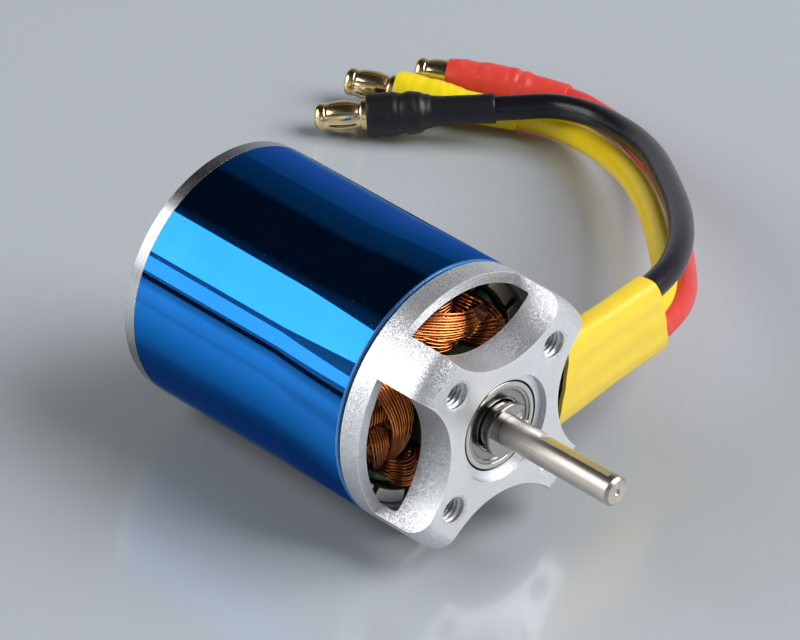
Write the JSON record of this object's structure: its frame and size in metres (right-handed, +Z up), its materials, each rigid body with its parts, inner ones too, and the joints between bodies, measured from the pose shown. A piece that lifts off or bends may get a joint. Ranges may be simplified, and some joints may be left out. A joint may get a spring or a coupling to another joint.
{
  "type": "brushless outrunner motor",
  "caption": "Small brushless outrunner motor: polished round can that spins around a windowed front mount with a bare output shaft, and three soft leads ending in bullet plugs.",
  "frame": {"origin": "centre of the flat front mounting face, on the shaft's axis", "axes": "+X out along the output shaft, +Z up, leads leave on the +Y side; the motor lies on its round side"},
  "size_m": [0.0905, 0.0849, 0.0283],
  "materials": {
    "mount": "bright silver, fine blasted texture",
    "core": "stacked electrical-steel laminations",
    "insulator": "dark green epoxy coating",
    "winding": "enamelled copper wire",
    "can": "mirror blue anodised",
    "magnet": "nickel plated",
    "cap": "turned bright",
    "screw": "black oxide",
    "clip": "spring steel",
    "washer": "plain steel",
    "shaft": "ground steel",
    "sleeve": "yellow shrink tube",
    "gold": "gold plated",
    "lead_black": "satin silicone",
    "lead_yellow": "satin silicone",
    "lead_red": "satin silicone",
    "shrink_black": "matt shrink tube",
    "shrink_yellow": "matt shrink tube",
    "shrink_red": "matt shrink tube",
    "ball": "polished steel",
    "cage": "pressed ribbon",
    "shield": "pressed steel",
    "bearing": "ground bearing steel"
  },
  "bodies": {
    "stator": {"bullet_black": "gold", "bullet_red": "gold", "bullet_spring_black": "gold", "bullet_spring_red": "gold", "bullet_spring_yellow": "gold", "bullet_yellow": "gold", "front_mount": "mount", "lead_black": "lead_black", "lead_red": "lead_red", "lead_sleeve": "sleeve", "lead_yellow": "lead_yellow", "phase_tails": "winding", "shrink_black": "shrink_black", "shrink_red": "shrink_red", "shrink_yellow": "shrink_yellow", "stator_core": "core", "stator_insulator_front": "insulator", "stator_insulator_rear": "insulator", "winding_phase_a": "winding", "winding_phase_b": "winding", "winding_phase_c": "winding", "front_bearing_outer_ring": "bearing", "front_bearing_shields": "shield", "rear_bearing_outer_ring": "bearing", "rear_bearing_shields": "shield"},
    "rotor": {"front_bearing_inner_ring": "bearing", "grub_screws": "screw", "magnets": "magnet", "rear_bearing_inner_ring": "bearing", "rear_cap": "cap", "rear_spacer": "washer", "rotor_can": "can", "shaft": "shaft", "shaft_clip": "clip", "shim_washers": "washer"},
    "front_ball_set": {"front_bearing_balls": "ball", "front_bearing_cage": "cage"},
    "rear_ball_set": {"rear_bearing_balls": "ball", "rear_bearing_cage": "cage"}
  },
  "joints": [
    {"name": "rotor_spin", "type": "hinge", "parent": "stator", "child": "rotor", "pos_m": [0, 0, 0], "axis": [1, 0, 0], "continuous": true},
    {"name": "front_ball_orbit", "type": "hinge", "parent": "stator", "child": "front_ball_set", "pos_m": [-0.00265, 0, 0], "axis": [1, 0, 0], "continuous": true},
    {"name": "rear_ball_orbit", "type": "hinge", "parent": "stator", "child": "rear_ball_set", "pos_m": [-0.02922, 0, 0], "axis": [1, 0, 0], "continuous": true}
  ],
  "couplings": [
    {"joint": "front_ball_orbit", "follows": "rotor_spin", "ratio": 0.3756},
    {"joint": "rear_ball_orbit", "follows": "rotor_spin", "ratio": 0.3756}
  ]
}
